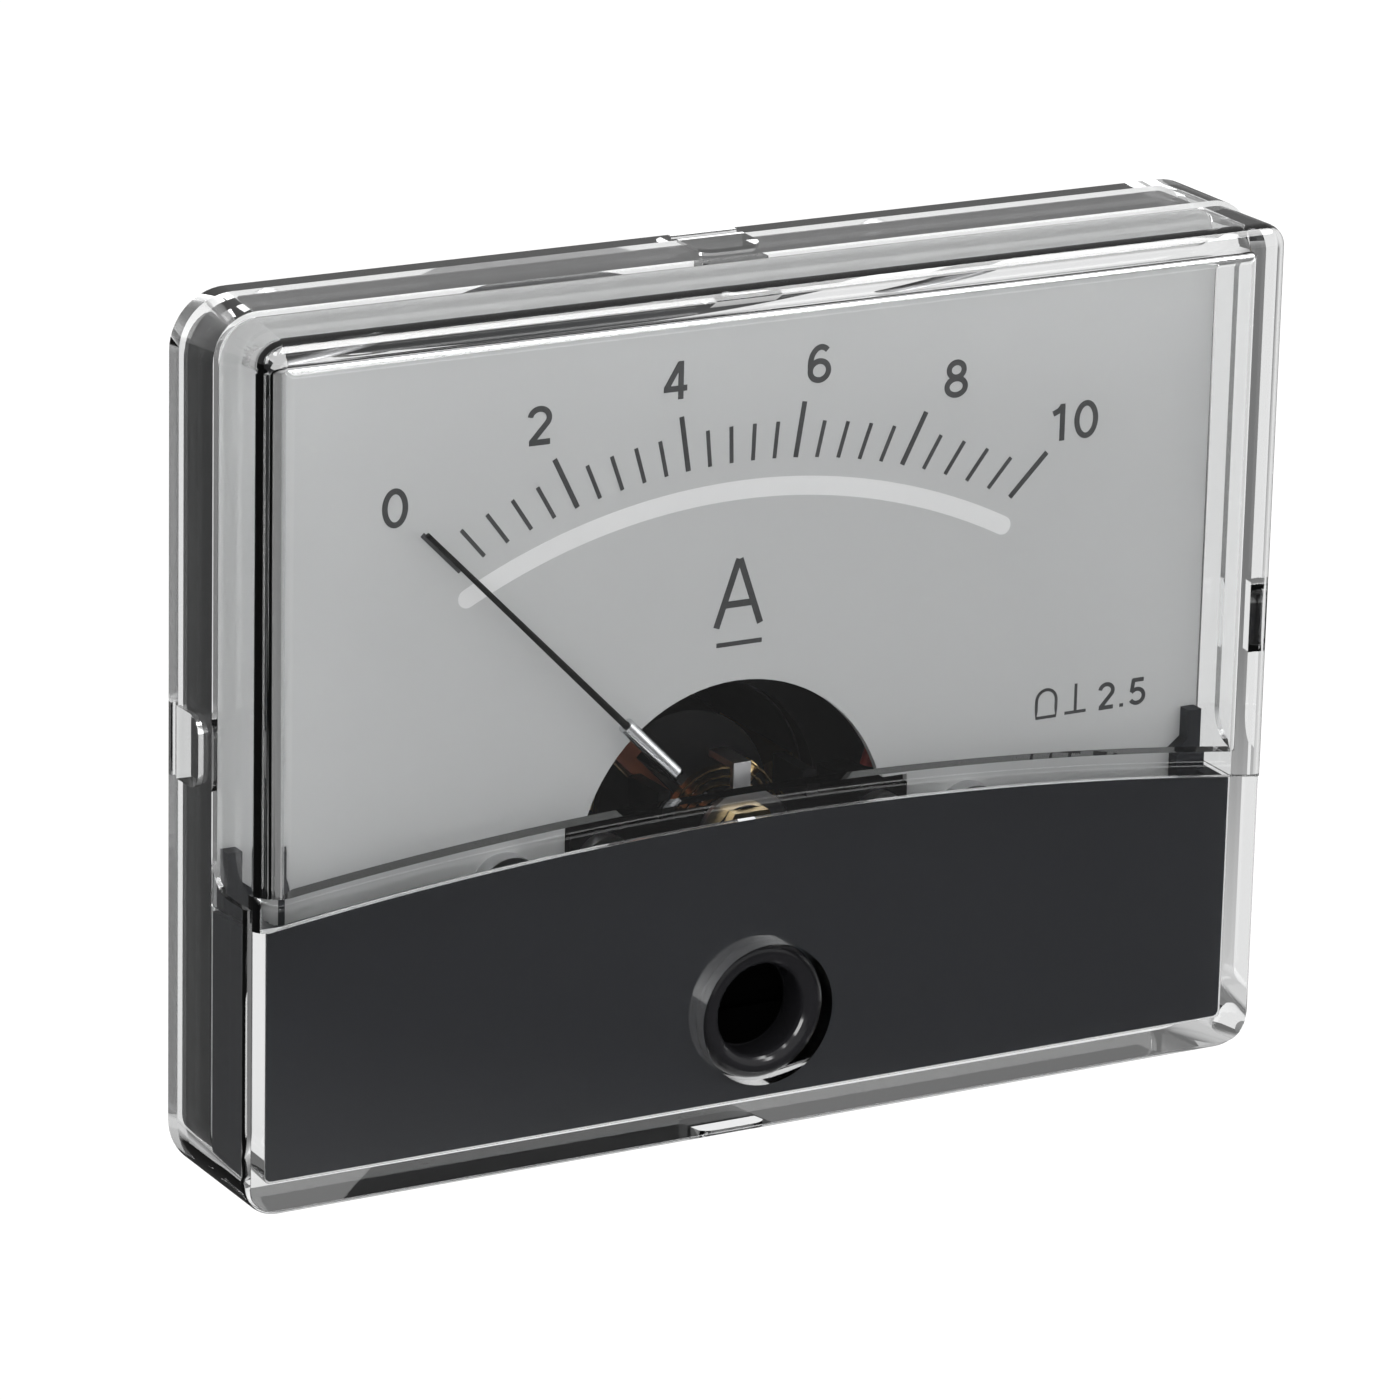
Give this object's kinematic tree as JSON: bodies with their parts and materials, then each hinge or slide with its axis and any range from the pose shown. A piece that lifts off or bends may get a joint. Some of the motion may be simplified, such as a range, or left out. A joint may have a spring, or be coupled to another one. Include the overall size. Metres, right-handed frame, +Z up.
{
  "type": "analog panel meter",
  "caption": "Moving-coil ammeter with a clear rectangular front, a grey arc scale, a black mask with a zero adjuster, and a round rear barrel with studs.",
  "frame": {"origin": "centre of the front's outline, on the flat rear face that seats on the panel", "axes": "+Z up, the dial faces -Y, +Y runs back through the panel, +X to the right as the dial is read"},
  "size_m": [0.06, 0.0393, 0.046],
  "materials": {
    "clear_cover": "clear, polished",
    "black_mask": "satin, fine moulded grain",
    "black_gloss": "glossy",
    "dial_grey": "matt grey enamel with dark print",
    "base_black": "moulded phenolic, satin",
    "plated_steel": "zinc plated",
    "yoke_iron": "soft iron, dull",
    "magnet": "ground magnet alloy",
    "brass": "turned",
    "tinned_brass": "tinned, dull",
    "bridge_alloy": "stamped",
    "jewel": "polished synthetic jewel",
    "spring_bronze": "rolled strip",
    "former_alloy": "thin sheet",
    "copper_winding": "lacquered copper wire",
    "pointer_black": "matt black",
    "sleeve_alloy": "drawn tube",
    "shunt_alloy": "rolled resistance alloy",
    "resistor_body": "lacquered",
    "lead_red": "insulated wire",
    "lead_blue": "insulated wire"
  },
  "bodies": {
    "case": {"front_cover": "clear_cover", "front_mask": "black_mask", "dial_plate": "dial_grey", "dial_screws": "plated_steel", "base_housing": "base_black", "movement_plate": "base_black", "movement_screws": "plated_steel", "yoke_ring": "yoke_iron", "core_magnet": "magnet", "core_spacers": "brass", "front_bridge": "base_black", "front_bridge_screws": "plated_steel", "rear_bridge": "bridge_alloy", "rear_bridge_screws": "plated_steel", "front_jewel_screw": "brass", "front_jewel_nut": "brass", "rear_jewel_screw": "brass", "rear_jewel_nut": "brass", "jewel_cups": "jewel", "rear_hairspring": "spring_bronze", "rear_spring_anchor": "brass", "shunt_strip": "shunt_alloy", "series_resistor": "resistor_body", "front_lead": "lead_red", "rear_lead": "lead_blue", "terminal_studs": "brass", "terminal_washers": "brass", "terminal_nuts": "brass", "solder_tags": "tinned_brass", "panel_studs": "plated_steel"},
    "moving_coil": {"coil_former": "former_alloy", "coil_winding": "copper_winding", "front_pivot": "plated_steel", "rear_pivot": "plated_steel", "rear_collet": "brass", "pointer_arm": "pointer_black", "pointer_needle": "pointer_black", "pointer_sleeve": "sleeve_alloy", "balance_weights": "brass"},
    "lever": {"zero_lever": "plated_steel", "front_hairspring": "spring_bronze"},
    "adjuster": {"zero_adjuster": "black_gloss"}
  },
  "joints": [
    {"name": "pointer_swing", "type": "hinge", "parent": "case", "child": "moving_coil", "pos_m": [0, 0.006, -0.00784], "axis": [0, 1, 0], "range_deg": [-2, 92], "stiffness_Nm_per_rad": 0.000013},
    {"name": "zero_adjust", "type": "hinge", "parent": "case", "child": "adjuster", "pos_m": [0, -0.0064, -0.01645], "axis": [0, 1, 0], "range_deg": [-35, 35]},
    {"name": "lever_swing", "type": "hinge", "parent": "case", "child": "lever", "pos_m": [0, -0.0042, -0.00784], "axis": [0, 1, 0], "range_deg": [-5.5, 5.5]}
  ],
  "couplings": [
    {"joint": "lever_swing", "follows": "zero_adjust", "ratio": -0.154}
  ]
}
